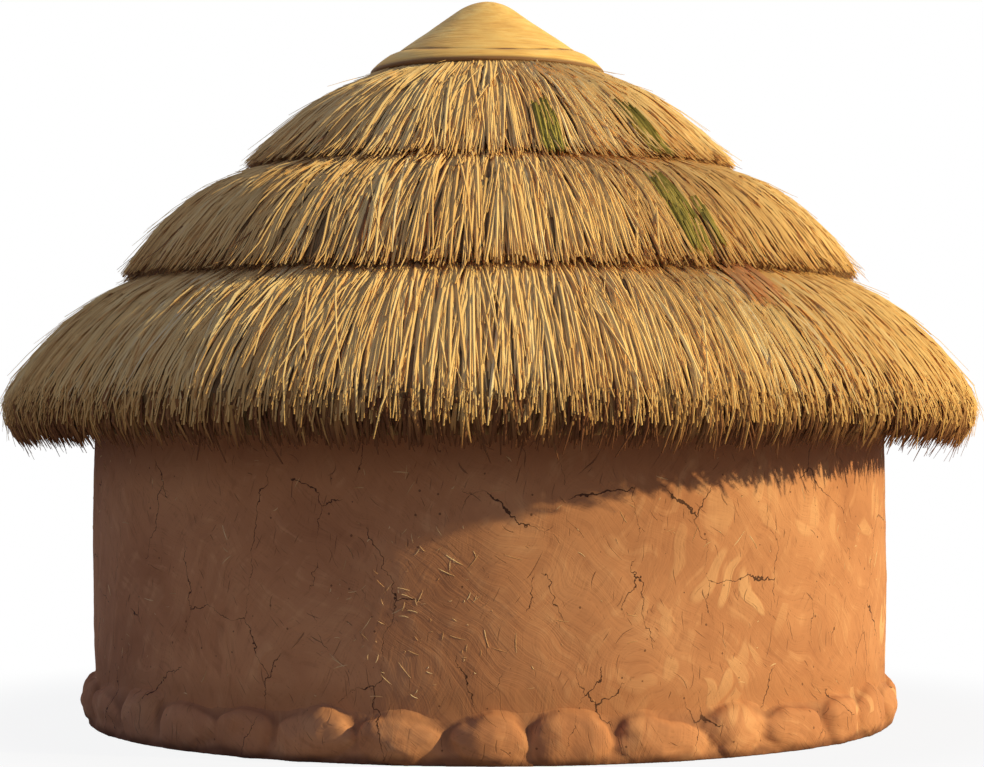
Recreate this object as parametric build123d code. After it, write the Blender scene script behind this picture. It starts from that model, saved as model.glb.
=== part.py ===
from build123d import *
from math import acos, cos, degrees, pi, radians, sin, tan
import os

# Round hut with a mud wall and a stepped thatch roof. Millimetres, +Z up.
# The origin is on the ground at the centre of the room. The plain side of the wall
# faces -Y and the doorway faces +Y.
os.makedirs("parts", exist_ok=True)

seat_gap = 0.3          # between a curved or notched piece and what it rests on

# Mud wall, raised in bays around the room
wall_radius = 2495      # outer face at its foot
wall_thickness = 300
wall_swell = 17         # how far the outer face bellies out half way up
wall_top_round = 55     # hand-smoothed outer edge at the top
wall_bays = 12
upright_foot = 345      # the outer face is upright this high, behind the boulders

# Doorway, framed in adzed timber
door_width = 760        # clear between the posts
door_height = 1700      # clear under the lintel
post_size = 90
lintel_height = 110
lintel_depth = 190
lintel_bearing = 170    # how far the lintel runs into the wall on each side
lintel_cover = 123      # mud over the lintel, up to the top of the wall
door_inset = 30         # the frame stands this far inside the middle of the wall
sill_height = 60
sill_depth = 340

# Row of boulders bedded against the foot of the wall
stone_pitch = 470       # along the wall, from one stone to the next
stone_joint = 12        # open joint between neighbours
stone_height = 312
stone_depth = 205       # in and out of the wall
stone_proud = 76        # how far a stone stands out of the wall
stone_lengths = (1.00, 1.12, 0.93, 1.05, 0.88, 1.02, 1.10, 0.90)
stone_heights = (1.00, 0.94, 1.06, 0.98, 0.90, 1.04, 0.96, 1.02)
stone_tilts = (4, -6, 3, 8, -4, -8, 6, -2)
stone_beds = (0.46, 0.42, 0.45, 0.40, 0.47, 0.43, 0.41, 0.44)

# Poles
rafter_count = 16
plate_setback = 35      # its outer corners, from the wall's outer face
plate_width = 110
plate_height = 80
rafter_butt = 90        # diameter at the eave
rafter_tip = 58         # diameter at the hub
rafter_sides = 12       # flats left where the bark was shaved off
rafter_notch = 24       # how deep a rafter is cut where it sits on the plate
rafter_overhang = 125   # past the outer face of the wall
hub_radius = 165
hub_height = 150
lath_width = 30
lath_height = 22
lath_rows = 8
lath_margin = 90        # along the slope, from each end of the rafters

# Thatch. Each course is given by how far up the slope from the eave its lip lies and
# by its depth square to the slope: at the lip, at its fullest, and where the next
# course covers it.
roof_pitch = 42         # of the rafters
course_pitch = 22       # the stems lie flatter than the rafters
eave_overhang = 365     # from the wall's outer face to the underside of the eave
eave_bulge = 32
eave_fullest = 0.38     # where the eave bulges most, as a share of the lip's depth
lip_overhang = 6        # how far the cut ends of a lip stand out past its edge
lower_lip = (25, 285)
lower_crown = (540, 378)
middle_foot = (1065, 318)
middle_lip = (1085, 372)
middle_crown = (1500, 446)
upper_foot = (2105, 335)
upper_lip = (2125, 382)
upper_crown = (2470, 396)
shoulder_depth = 306    # where the course turns to the pitch of the cap

# Cap over the peak
cap_radius = 757        # at its rim
cap_thickness = 46
cap_rim = 24            # edge of the brim
cap_brim = 70           # the last of the cap, which turns down
cap_pitch = 34
cap_peak_round = 185    # out from the axis to where the blunt point begins
cap_setback = 56        # from the thatch's shoulder in to the cap's rim

wall_inner = wall_radius - wall_thickness
wall_middle = wall_radius - wall_thickness / 2
lintel_top = door_height + lintel_height
wall_height = lintel_top + lintel_cover
plate_top = wall_height + plate_height
bay_half_width = door_width / 2 + post_size
frame_y = wall_middle - door_inset
slope = radians(roof_pitch)

# The underside of the thatch is a cone, found upwards from the wall: plate, notched
# rafter, lath, thatch. A lath hoop bends over a rafter, which lies lower by that room.
lath_depth = lath_width * sin(slope) + lath_height * cos(slope)
rafter_end = wall_radius + rafter_overhang
plate_outer = wall_radius - plate_setback
taper_at_plate = (rafter_end - plate_outer) / (rafter_end - hub_radius)
rafter_at_plate = rafter_butt - (rafter_butt - rafter_tip) * taper_at_plate
bend_room = (tan(pi / rafter_count) * sin(slope)) ** 2 * rafter_butt / 4
rafter_bed = lath_depth + bend_room + 2 * seat_gap
seat_to_thatch = rafter_at_plate - rafter_notch + rafter_bed
eave_radius = wall_radius + eave_overhang
eave_height = (plate_top + seat_to_thatch / cos(slope)
               - (eave_radius - plate_outer) * tan(slope))


def on_slope(up, depth=0):
    """Point at a distance up the slope from the eave, this deep outside the laths."""
    return Vector(eave_radius - up * cos(slope) + depth * sin(slope), 0,
                  eave_height + up * sin(slope) + depth * cos(slope))


def up_at(radius, depth=0):
    """How far up the slope a point of this depth reaches the given radius."""
    return (eave_radius - radius + depth * sin(slope)) / cos(slope)


def at(radius, height):
    return Vector(radius, 0, height)


def ring(*edges, start=0, sweep=360):
    """A closed outline, radius along X and height along Z, spun about the hut's axis."""
    outline = make_face(Curve() + list(edges))
    return revolve(outline.rotate(Axis.Z, start), Axis.Z, revolution_arc=sweep)


def save(shape, node):
    export_step(shape, f"parts/{node}.step")


def wall_bay(start, sweep):
    """One bay of the wall: upright behind the boulders, then a slight belly."""
    belly = at(wall_radius + wall_swell, (upright_foot + wall_height) / 2)
    shoulder = at(wall_radius, wall_height - wall_top_round)
    crest = at(wall_radius - wall_top_round, wall_height)
    softened = at(wall_radius - wall_top_round * (1 - cos(pi / 4)),
                  wall_height - wall_top_round * (1 - sin(pi / 4)))
    return ring(
        Line(at(wall_inner, 0), at(wall_radius, 0)),
        Line(at(wall_radius, 0), at(wall_radius, upright_foot)),
        ThreePointArc(at(wall_radius, upright_foot), belly, shoulder),
        ThreePointArc(shoulder, softened, crest),
        Line(crest, at(wall_inner, wall_height)),
        Line(at(wall_inner, wall_height), at(wall_inner, 0)),
        start=start, sweep=sweep)


def doorway_space(height):
    """The bay left open for the doorway, right through the wall."""
    deep = 2 * wall_thickness
    return Pos(0, wall_middle, height / 2) * Box(2 * bay_half_width, deep, height)


def door_lintel():
    length = 2 * (bay_half_width + lintel_bearing)
    middle = Pos(0, frame_y, door_height + lintel_height / 2)
    return middle * Box(length, lintel_depth, lintel_height)


def door_post(side):
    middle = Pos(side * (door_width + post_size) / 2, frame_y, door_height / 2)
    return middle * Box(post_size, post_size, door_height)


def door_sill():
    middle = Pos(0, frame_y, sill_height / 2)
    return middle * Box(door_width, sill_depth, sill_height)


def wall():
    """The bays in order around the room, with the doorway cut out of those beside it,
    and the piece of wall over the lintel."""
    sweep = 360 / wall_bays
    opening = doorway_space(wall_height + plate_height)
    bays = []
    for number in range(wall_bays):
        bay = wall_bay(90 + number * sweep, sweep)
        if number in (0, wall_bays - 1):
            bay = bay - opening - door_lintel()
        bays.append(bay)
    over = wall_bay(90 - sweep, 2 * sweep) & opening
    over -= doorway_space(lintel_top)
    return bays, over


def boulder(number, angle, length):
    """A rounded boulder, flat where it stands and where it lies against the wall."""
    kind = number % len(stone_lengths)
    tall = stone_height * stone_heights[kind]
    body = scale(Sphere(0.5), by=(length, stone_depth, tall))
    body = Rot(0, stone_tilts[kind], 0) * body
    seat = -(wall_radius + stone_proud - stone_depth / 2)
    body = Pos(0, seat, tall * stone_beds[kind]) * body
    body = split(body, bisect_by=Plane.XY, keep=Keep.TOP)
    body -= Cylinder(wall_radius, 4 * stone_height)
    return Rot(0, 0, angle + 90) * body


def footing():
    """Boulders all the way round from one side of the doorway to the other, in four
    runs. Their lengths vary and the joint between two of them is even."""
    edge = degrees(acos(bay_half_width / wall_radius))
    first, last = 180 - edge, edge + 360
    around = radians(last - first) * wall_radius
    count = round(around / stone_pitch)
    shares = [stone_lengths[n % len(stone_lengths)] for n in range(count)]
    unit = around / sum(shares)
    runs = [[], [], [], []]
    place = first
    for number, share in enumerate(shares):
        taken = degrees(share * unit / wall_radius)
        stone = boulder(number, place + taken / 2, share * unit - stone_joint)
        runs[number * len(runs) // count].append(stone)
        place += taken
    return runs


def wall_plate():
    """Squared poles laid end to end on the wall, one length between two rafters."""
    def disc(radius, height):
        return extrude(RegularPolygon(radius, rafter_count), height)
    plate = disc(plate_outer, plate_height)
    plate -= disc(plate_outer - plate_width, plate_height)
    return Pos(0, 0, wall_height) * plate


def apex_hub(clearance=0):
    """The block that the rafters lean on, close under the thatch."""
    middle = on_slope(up_at(hub_radius)).Z - seat_gap - hub_height / 2
    tall = hub_height if clearance == 0 else 3 * hub_height
    return Pos(0, 0, middle) * Cylinder(hub_radius + clearance, tall)


def rafter(number, plate, hub_space):
    """A tapered pole with its upper line straight under the laths, notched over the
    plate and scribed to the round hub."""
    butt, tip = rafter_butt / 2, rafter_tip / 2
    low = on_slope(up_at(rafter_end), -(rafter_bed + butt))
    high = on_slope(up_at(hub_radius / 2), -(rafter_bed + tip))
    outwards = on_slope(0, 1) - on_slope(0)
    ends = [Plane(middle, x_dir=outwards, z_dir=high - low) * RegularPolygon(size, rafter_sides)
            for middle, size in ((low, butt), (high, tip))]
    pole = Rot(0, 0, number * 360 / rafter_count) * loft(ends, ruled=True)
    return pole - plate - hub_space


def lath_hoop(up):
    """A flat hoop of split poles on the rafters, bent where it crosses each one."""
    outer = on_slope(up).X - seat_gap
    height = on_slope(up).Z - lath_height
    hoop = extrude(RegularPolygon(outer, rafter_count), lath_height)
    hoop -= extrude(RegularPolygon(outer - lath_width, rafter_count), lath_height)
    return Pos(0, 0, height) * hoop


def laths():
    lowest = up_at(rafter_end) + lath_margin
    highest = up_at(hub_radius) - lath_margin
    step = (highest - lowest) / (lath_rows - 1)
    return [lath_hoop(lowest + row * step) for row in range(lath_rows)]


def meeting(foot):
    """Where the flatter bed under a course reaches the laths."""
    return foot[0] + foot[1] / tan(radians(roof_pitch - course_pitch))


def lip_edges(foot, lip):
    """The cut ends of the stems, from the course below out to the rounded lip."""
    turn = on_slope(lip[0] - lip_overhang, (foot[1] + lip[1]) / 2)
    return ThreePointArc(on_slope(*foot), turn, on_slope(*lip))


def thatch_lower():
    end = meeting(middle_foot)
    butt = on_slope(-eave_bulge, lower_lip[1] * eave_fullest)
    return ring(
        ThreePointArc(on_slope(0), butt, on_slope(*lower_lip)),
        ThreePointArc(on_slope(*lower_lip), on_slope(*lower_crown),
                      on_slope(*middle_foot)),
        Line(on_slope(*middle_foot), on_slope(end)),
        Line(on_slope(end), on_slope(0)))


def thatch_middle():
    start, end = meeting(middle_foot), meeting(upper_foot)
    return ring(
        Line(on_slope(start), on_slope(*middle_foot)),
        lip_edges(middle_foot, middle_lip),
        ThreePointArc(on_slope(*middle_lip), on_slope(*middle_crown),
                      on_slope(*upper_foot)),
        Line(on_slope(*upper_foot), on_slope(end)),
        Line(on_slope(end), on_slope(start)))


def shoulder():
    """The upper course turns here to the cone that the cap lies on."""
    radius = cap_radius + cap_setback
    return on_slope(up_at(radius, shoulder_depth), shoulder_depth)


def peak_cone(radius, lift=0):
    """A point of the cone under the cap, or of one this far above it."""
    return at(radius, shoulder().Z + (shoulder().X - radius) * tan(radians(cap_pitch)) + lift)


def peak_round(lift=0):
    """The blunt point of that cone, from its round's lower edge up to the axis."""
    pitch = radians(cap_pitch)
    start = peak_cone(cap_peak_round, lift)
    top = at(0, start.Z + cap_peak_round * tan(pitch / 2))
    return start, TangentArc(start, top, tangent=Vector(-cos(pitch), 0, sin(pitch))), top


def thatch_upper():
    start = meeting(upper_foot)
    round_start, blunt, peak = peak_round()
    inside = on_slope(up_at(0))
    return ring(
        Line(on_slope(start), on_slope(*upper_foot)),
        lip_edges(upper_foot, upper_lip),
        ThreePointArc(on_slope(*upper_lip), on_slope(*upper_crown), shoulder()),
        Line(shoulder(), round_start),
        blunt,
        Line(peak, inside),
        Line(inside, on_slope(start)))


def ridge_cap():
    """A smooth shell laid on the thatch's peak, with a brim that turns down at its rim
    and a blunt point."""
    pitch = radians(cap_pitch)
    lift = cap_thickness / cos(pitch)
    bed_start, bed_blunt, bed_top = peak_round()
    top_start, top_blunt, top = peak_round(lift)
    edge_low = peak_cone(cap_radius - cap_rim * sin(pitch))
    edge_high = edge_low + Vector(sin(pitch), 0, cos(pitch)) * cap_rim
    fold_top = peak_cone(cap_radius - cap_brim, lift)
    return ring(
        bed_blunt,
        Line(bed_start, edge_low),
        Line(edge_low, edge_high),
        TangentArc(fold_top, edge_high, tangent=Vector(cos(pitch), 0, -sin(pitch))),
        Line(fold_top, top_start),
        top_blunt,
        Line(top, bed_top))


bays, over_doorway = wall()
for number, bay in enumerate(bays, 1):
    save(bay, f"wall_bay_{number:02}")
save(over_doorway, "wall_over_doorway")
save(door_post(-1), "door_post_left")
save(door_post(1), "door_post_right")
save(door_lintel(), "door_lintel")
save(door_sill(), "door_sill")

quarters = ("back_left", "front_left", "front_right", "back_right")
for quarter, stones in zip(quarters, footing()):
    save(Compound(stones), f"footing_stones_{quarter}")

plate = wall_plate()
save(plate, "wall_plate")
hub_space = apex_hub(clearance=seat_gap)
for number in range(rafter_count):
    save(rafter(number, plate, hub_space), f"rafter_{number + 1:02}")
save(apex_hub(), "apex_hub")
save(Compound(laths()), "lath_hoops")

save(thatch_lower(), "thatch_lower_course")
save(thatch_middle(), "thatch_middle_course")
save(thatch_upper(), "thatch_upper_course")
save(ridge_cap(), "ridge_cap")
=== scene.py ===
import math
from functools import reduce
import bpy
import bmesh
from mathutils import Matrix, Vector, noise as mathnoise


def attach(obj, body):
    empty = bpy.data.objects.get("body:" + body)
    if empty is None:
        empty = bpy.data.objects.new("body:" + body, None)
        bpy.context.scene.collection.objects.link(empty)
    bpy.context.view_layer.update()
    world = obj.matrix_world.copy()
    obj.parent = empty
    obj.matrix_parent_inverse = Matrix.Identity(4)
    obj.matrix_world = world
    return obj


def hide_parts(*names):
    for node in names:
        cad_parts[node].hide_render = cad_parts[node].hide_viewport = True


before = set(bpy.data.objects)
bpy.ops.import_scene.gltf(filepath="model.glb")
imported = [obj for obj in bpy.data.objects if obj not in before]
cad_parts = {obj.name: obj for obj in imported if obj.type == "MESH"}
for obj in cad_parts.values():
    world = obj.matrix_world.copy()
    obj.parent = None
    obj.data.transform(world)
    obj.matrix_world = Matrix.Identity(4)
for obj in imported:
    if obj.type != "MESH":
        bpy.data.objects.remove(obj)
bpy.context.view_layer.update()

# Round hut: mud wall, daubed boulders, three courses of thatch and a smooth cap.
# Metres. The plain side faces -Y and the doorway +Y.


def feed(socket, value):
    if isinstance(value, bpy.types.NodeSocket):
        socket.id_data.links.new(value, socket)
    else:
        socket.default_value = value


def addNode(tree, kind, inputs=None, **settings):
    node = tree.nodes.new(kind)
    for name, value in settings.items():
        setattr(node, name, value)
    for key, value in (inputs or {}).items():
        feed(node.inputs[key], value)
    return node


def treeOf(*values):
    # The tree that the first socket among the values belongs to
    return next(value.id_data for value in values if isinstance(value, bpy.types.NodeSocket))


def calc(operation, *values):
    return addNode(treeOf(*values), "ShaderNodeMath", dict(enumerate(values)), operation=operation).outputs[0]


def plus(*values):
    return reduce(lambda a, b: calc("ADD", a, b), values)


def minus(*values):
    return reduce(lambda a, b: calc("SUBTRACT", a, b), values)


def times(*values):
    return reduce(lambda a, b: calc("MULTIPLY", a, b), values)


def over(first, second):
    return calc("DIVIDE", first, second)


def vecCalc(operation, *values):
    inputs = dict(enumerate(values))
    if operation == "SCALE":
        inputs = {0: values[0], "Scale": values[1]}
    node = addNode(treeOf(*values), "ShaderNodeVectorMath", inputs, operation=operation)
    return node.outputs["Value" if operation in ("LENGTH", "DOT_PRODUCT") else "Vector"]


def split(value):
    return addNode(treeOf(value), "ShaderNodeSeparateXYZ", {0: value}).outputs


def combine(x, y, z=0.0):
    return addNode(treeOf(x, y, z), "ShaderNodeCombineXYZ", {0: x, 1: y, 2: z}).outputs[0]


def remap(value, low, high, toLow=0.0, toHigh=1.0, smooth=False):
    kind = "SMOOTHSTEP" if smooth else "LINEAR"
    return addNode(treeOf(value), "ShaderNodeMapRange", {0: value, 1: low, 2: high, 3: toLow, 4: toHigh},
                   interpolation_type=kind).outputs[0]


def noise(vector, scale, detail=3.0, roughness=0.5, distortion=0.0):
    return addNode(treeOf(vector), "ShaderNodeTexNoise",
                   {"Vector": vector, "Scale": scale, "Detail": detail,
                    "Roughness": roughness, "Distortion": distortion}).outputs[0]


def ramp(value, stops):
    node = addNode(treeOf(value), "ShaderNodeValToRGB", {0: value})
    line = node.color_ramp
    while len(line.elements) > 1:
        line.elements.remove(line.elements[-1])
    line.elements[0].position, line.elements[0].color = stops[0][0], (*stops[0][1], 1)
    for place, colour in stops[1:]:
        line.elements.new(place).color = (*colour, 1)
    return node.outputs[0]


def mixColour(factor, first, second, blend="MIX"):
    first, second = ((*colour, 1) if isinstance(colour, tuple) else colour for colour in (first, second))
    return addNode(treeOf(factor, first, second), "ShaderNodeMix", {0: factor, 6: first, 7: second},
                   data_type="RGBA", blend_type=blend).outputs[2]


def newMaterial(name, roughness=0.85, specular=0.25):
    material = bpy.data.materials.new(name)
    material.use_nodes = True
    shader = material.node_tree.nodes["Principled BSDF"]
    shader.inputs["Roughness"].default_value = roughness
    shader.inputs["Specular IOR Level"].default_value = specular
    return material, material.node_tree, shader


def addBump(tree, shader, height, strength, distance):
    bump = addNode(tree, "ShaderNodeBump", {"Height": height, "Strength": strength, "Distance": distance})
    tree.links.new(bump.outputs[0], shader.inputs["Normal"])


def objectPlace(tree):
    return addNode(tree, "ShaderNodeTexCoord").outputs["Object"]


def aroundAxis(direction, height, turns, rise):
    # Streaks round the hut's axis, stretched or squeezed upwards
    return vecCalc("ADD", vecCalc("SCALE", direction, turns), combine(0.0, 0.0, times(height, rise)))


def addObject(name, data):
    piece = bpy.data.objects.new(name, data)
    bpy.context.scene.collection.objects.link(piece)
    return piece


def meshObject(name, points, faces, smooth=True, edges=()):
    mesh = bpy.data.meshes.new(name)
    mesh.from_pydata([tuple(p) for p in points], edges, faces)
    mesh.validate()
    mesh.polygons.foreach_set("use_smooth", [smooth] * len(mesh.polygons))
    return addObject(name, mesh)


def loftRings(rings, closed=True):
    count = len(rings[0])
    points = [point for ring in rings for point in ring]
    faces = []
    for r in range(len(rings) - 1):
        for k in range(count if closed else count - 1):
            a, b = r * count + k, r * count + (k + 1) % count
            faces.append((a, b, b + count, a + count))
    if closed:
        faces.append(tuple(range(count - 1, -1, -1)))
        faces.append(tuple(range(len(points) - count, len(points))))
    return points, faces


def outwards(piece):
    shape = bmesh.new()
    shape.from_mesh(piece.data)
    bmesh.ops.remove_doubles(shape, verts=shape.verts, dist=1e-5)
    bmesh.ops.recalc_face_normals(shape, faces=shape.faces)
    shape.to_mesh(piece.data)
    shape.free()


def geometryTree(name, inputs):
    tree = bpy.data.node_groups.new(name, "GeometryNodeTree")
    tree.interface.new_socket("Geometry", in_out="INPUT", socket_type="NodeSocketGeometry")
    tree.interface.new_socket("Geometry", in_out="OUTPUT", socket_type="NodeSocketGeometry")
    kinds = {float: "NodeSocketFloat", int: "NodeSocketInt", None: "NodeSocketMaterial"}
    for label, value in inputs.items():
        kind = kinds[None if value is None else type(value)]
        socket = tree.interface.new_socket(label, in_out="INPUT", socket_type=kind)
        if value is not None:
            socket.default_value = value
    return tree, addNode(tree, "NodeGroupInput"), addNode(tree, "NodeGroupOutput")


def labelled(plan):
    # A value named baseLift is for the input named Base Lift
    return {"".join(" " + c if c.isupper() else c for c in key).title(): value for key, value in plan.items()}


def randomValue(tree, seed, number, low, high, each=None):
    step = addNode(tree, "FunctionNodeIntegerMath", {0: seed, 1: number}, operation="ADD").outputs[0]
    node = addNode(tree, "FunctionNodeRandomValue", {"Seed": step}, data_type="FLOAT")
    if each is not None:
        feed(node.inputs["ID"], each)
    for key, value in (("Min_001", low), ("Max_001", high)):
        feed(next(s for s in node.inputs if s.identifier == key), value)
    return next(s for s in node.outputs if s.identifier == "Value_001")


def endTree(tree, result, geometry, material):
    real = addNode(tree, "GeometryNodeRealizeInstances", {0: geometry})
    finished = addNode(tree, "GeometryNodeSetMaterial", {"Geometry": real.outputs[0], "Material": material})
    tree.links.new(finished.outputs[0], result.inputs[0])


def runTree(piece, tree, values):
    modifier = piece.modifiers.new(tree.name, "NODES")
    modifier.node_group = tree
    for item in tree.interface.items_tree:
        if item.in_out == "INPUT" and item.name in values:
            modifier[item.identifier] = values[item.name]
    piece.update_tag()
    graph = bpy.context.evaluated_depsgraph_get()
    graph.update()
    mesh = bpy.data.meshes.new_from_object(piece.evaluated_get(graph))
    piece.modifiers.remove(modifier)
    old = piece.data
    piece.data = mesh
    bpy.data.meshes.remove(old)
    mesh.name = piece.name
    return piece


# The roof's outline, as the courses' lips and crowns: up the slope from the eave, and
# square to the slope out from the laths.
roof = {
    "pitch": math.radians(42),
    "eaveRadius": 2.860,
    "eaveHeight": 1.789,
    "lower": ((0.025, 0.285), (0.540, 0.378), (1.065, 0.318)),
    "middle": ((1.085, 0.372), (1.500, 0.446), (2.105, 0.335)),
    "upper": ((2.125, 0.382), (2.470, 0.396), (3.030, 0.306)),
}


def onSlope(up, depth):
    c, s = math.cos(roof["pitch"]), math.sin(roof["pitch"])
    return Vector((roof["eaveRadius"] - up * c + depth * s, 0, roof["eaveHeight"] + up * s + depth * c))


def arcThrough(first, middle, last, steps):
    ax, az, bx, bz, cx, cz = first.x, first.z, middle.x, middle.z, last.x, last.z
    d = 2 * (ax * (bz - cz) + bx * (cz - az) + cx * (az - bz))
    a2, b2, c2 = ax * ax + az * az, bx * bx + bz * bz, cx * cx + cz * cz
    centre = Vector(((a2 * (bz - cz) + b2 * (cz - az) + c2 * (az - bz)) / d, 0,
                     (a2 * (cx - bx) + b2 * (ax - cx) + c2 * (bx - ax)) / d))
    start, end = first - centre, last - centre
    turn = start.angle(end) * (1 if (start.z * end.x - start.x * end.z) < 0 else -1)
    points = []
    for k in range(steps + 1):
        a = turn * k / steps
        points.append(centre + Vector((start.x * math.cos(a) - start.z * math.sin(a), 0,
                                       start.x * math.sin(a) + start.z * math.cos(a))))
    return points


stems = {
    "sides": 3,
    "flatness": 0.36,     # thickness as a share of the width
    "hidden": 0.28,       # how far a course's stems run on under the next course
    "runOut": 0.40,       # straight on past the lip
    "lean": 0.15,         # sideways lean of single stems
    "clumpLean": 0.24,    # lean that neighbours share
    "clumpSize": 0.17,
    "clumpLift": 0.045,
    "gather": 0.62,       # how far the stems of a bundle draw together
    "wander": 2.2,        # how far the bundles' edges stray, in bundles
    "strayShare": 0.05,
    "strayLift": 0.055,
    "strayLean": 2.4,
    "rise": 0.008,        # how unevenly the stems lie on each other
    "looseAfter": 0.30,   # how far below the next course they come loose
    "tipLift": 0.018,
    "taper": 0.62,
    "bend": 0.02,
    "boldLength": 0.25,   # what the few thick stems have more of
    "boldWidth": 0.75,
    "boldLift": 0.004,
    "boldShade": 0.07,
    "clumpShade": 0.8,
    "bundleShade": 0.09,
    "hangingFrom": 0.07,  # stems darken this far past the lip
    "hangingShade": 0.9,
    "quickShare": 3,
}


def stemTree():
    tree, given, result = geometryTree("layStems", {
        "Count": 1000, "Seed": 1, "Shortest": 0.4, "Longest": 0.9, "Width": 0.012,
        "Thickness": 0.008, "Hidden": 0.28, "Lip": 1.2, "Top Radius": 1.5, "Lip Radius": 2.5,
        "Lip Share": 0.3, "Tips From": -0.04, "Tips To": 0.04, "Depth": 0.02, "Rake": 0.0, "Rise": 0.012,
        "Lean": 0.1, "Clump Lean": 0.2, "Clump Size": 0.16, "Stray Share": 0.03, "Stray Reach": 0.05,
        "Tip Lift": 0.015, "Turn From": 0.0, "Turn Span": 2 * math.pi, "Shade From": 0.24,
        "Shade Span": 0.62, "Buried Shade": 0.3, "Base Lift": 0.0, "Bundles": 60.0, "Gather": 0.6,
        "Swell": 0.03, "Front Shade": 0.0, "Pressed To": 0.28, "Front Reach": 0.0, "Segments": 4,
        "Stems Material": None})
    get = given.outputs
    points = addNode(tree, "GeometryNodePoints", {"Count": get["Count"]})
    index = addNode(tree, "GeometryNodeInputIndex").outputs[0]
    marked = addNode(tree, "GeometryNodeStoreNamedAttribute",
                     {"Geometry": points.outputs[0], "Name": "stem", "Value": index},
                     data_type="INT", domain="POINT")
    stick = addNode(tree, "GeometryNodeMeshCylinder",
                    {"Vertices": stems["sides"], "Side Segments": get["Segments"],
                     "Radius": 1.0, "Depth": 1.0})
    laid = addNode(tree, "GeometryNodeInstanceOnPoints",
                   {"Points": marked.outputs[0], "Instance": stick.outputs["Mesh"]})
    real = addNode(tree, "GeometryNodeRealizeInstances", {0: laid.outputs[0]})
    stem = addNode(tree, "GeometryNodeInputNamedAttribute", {"Name": "stem"}, data_type="INT").outputs[0]
    place = split(addNode(tree, "GeometryNodeInputPosition").outputs[0])

    def chance(number, low=0.0, high=1.0, each=None):
        return randomValue(tree, get["Seed"], number, low, high, stem if each is None else each)

    along = calc("POWER", plus(place[2], 0.5), 0.85)
    # An even spread: two irrational steps per stem, each shaken a little
    spreadA = calc("FRACT", plus(times(stem, 0.7548776662), chance(1, 0.0, 0.02)))
    spreadB = calc("FRACT", plus(times(stem, 0.5698402910), chance(2, 0.0, 0.05)))
    turn = plus(get["Turn From"], times(spreadA, get["Turn Span"]))
    topSquare = times(get["Top Radius"], get["Top Radius"])
    lipSquare = times(get["Lip Radius"], get["Lip Radius"])
    radius = calc("SQRT", plus(topSquare, times(spreadB, minus(lipSquare, topSquare))))
    share = over(minus(radius, get["Top Radius"]), minus(get["Lip Radius"], get["Top Radius"]))
    tipInside = plus(get["Hidden"], times(share, minus(get["Lip"], get["Hidden"])))
    depth = times(calc("POWER", chance(3), 1.3), get["Depth"])
    tipAtLip = plus(get["Lip"], times(depth, get["Rake"]), chance(4, get["Tips From"], get["Tips To"]))
    stray = calc("LESS_THAN", chance(7), get["Stray Share"])
    tipAtLip = plus(tipAtLip, times(stray, get["Stray Reach"], chance(15)))
    # The front stems hang further over the course below
    facing = calc("MAXIMUM", times(calc("SINE", turn), -1.0), 0.0)
    tipAtLip = plus(tipAtLip, times(calc("POWER", facing, 1.6), get["Front Reach"]))
    atLip = calc("LESS_THAN", chance(5), get["Lip Share"])
    tip = plus(times(tipAtLip, atLip), times(tipInside, minus(1.0, atLip)))
    reach = chance(6, get["Shortest"], get["Longest"])
    bold = calc("POWER", chance(16), 2.6)
    start = calc("MAXIMUM", minus(tip, times(reach, plus(1.0, times(bold, stems["boldLength"])))), 0.0)
    walked = times(along, minus(tip, start))
    # A course is laid in bundles, and the next course presses on its upper end
    bundleAt = plus(times(turn, over(get["Bundles"], 2 * math.pi)),
                    times(noise(combine(times(calc("COSINE", turn), 4.0),
                                        times(calc("SINE", turn), 4.0), radius), 1.0, 1.0),
                          stems["wander"]))
    bundle = addNode(tree, "FunctionNodeFloatToInt", {0: bundleAt}, rounding_mode="FLOOR").outputs[0]
    inBundle = minus(calc("FRACT", bundleAt), 0.5)
    drawn = times(get["Gather"], chance(20, 0.25, 1.0, bundle))
    swelling = times(minus(0.6, times(inBundle, inBundle, 4.0)), times(drawn, get["Swell"]))
    reached = plus(start, walked)
    free = remap(minus(reached, get["Pressed To"]), 0.0, stems["looseAfter"], smooth=True)
    guide = addNode(tree, "GeometryNodeMeshToCurve", {0: get["Geometry"]})
    sample = addNode(tree, "GeometryNodeSampleCurve",
                     {"Curves": guide.outputs[0], "Length": reached}, mode="LENGTH")
    at = split(sample.outputs["Position"])
    way = split(sample.outputs["Tangent"])

    # Neighbours lean and stand alike, so that they gather in tufts
    spot = combine(times(calc("COSINE", turn), over(radius, get["Clump Size"])),
                   times(calc("SINE", turn), over(radius, get["Clump Size"])),
                   times(tip, 2.4))
    tuft = minus(noise(spot, 1.0, 1.0), 0.5)
    other = minus(noise(vecCalc("ADD", spot, (31.0, 17.0, 5.0)), 0.45, 2.0), 0.5)
    single = times(calc("POWER", chance(8), 2.0), calc("SIGN", chance(9, -1.0, 1.0)))
    lean = plus(times(single, get["Lean"], plus(1.0, times(stray, stems["strayLean"]))),
                times(tuft, get["Clump Lean"]))
    bend = times(along, along, chance(10, -stems["bend"], stems["bend"]))
    taper = minus(1.0, times(calc("POWER", along, 3.0), stems["taper"]))
    size = plus(chance(11, 0.55, 1.05), times(bold, minus(stems["boldWidth"], times(stray, 0.5))))
    wide = times(get["Width"], size, taper)
    thick = times(get["Thickness"], size, taper)
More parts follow.
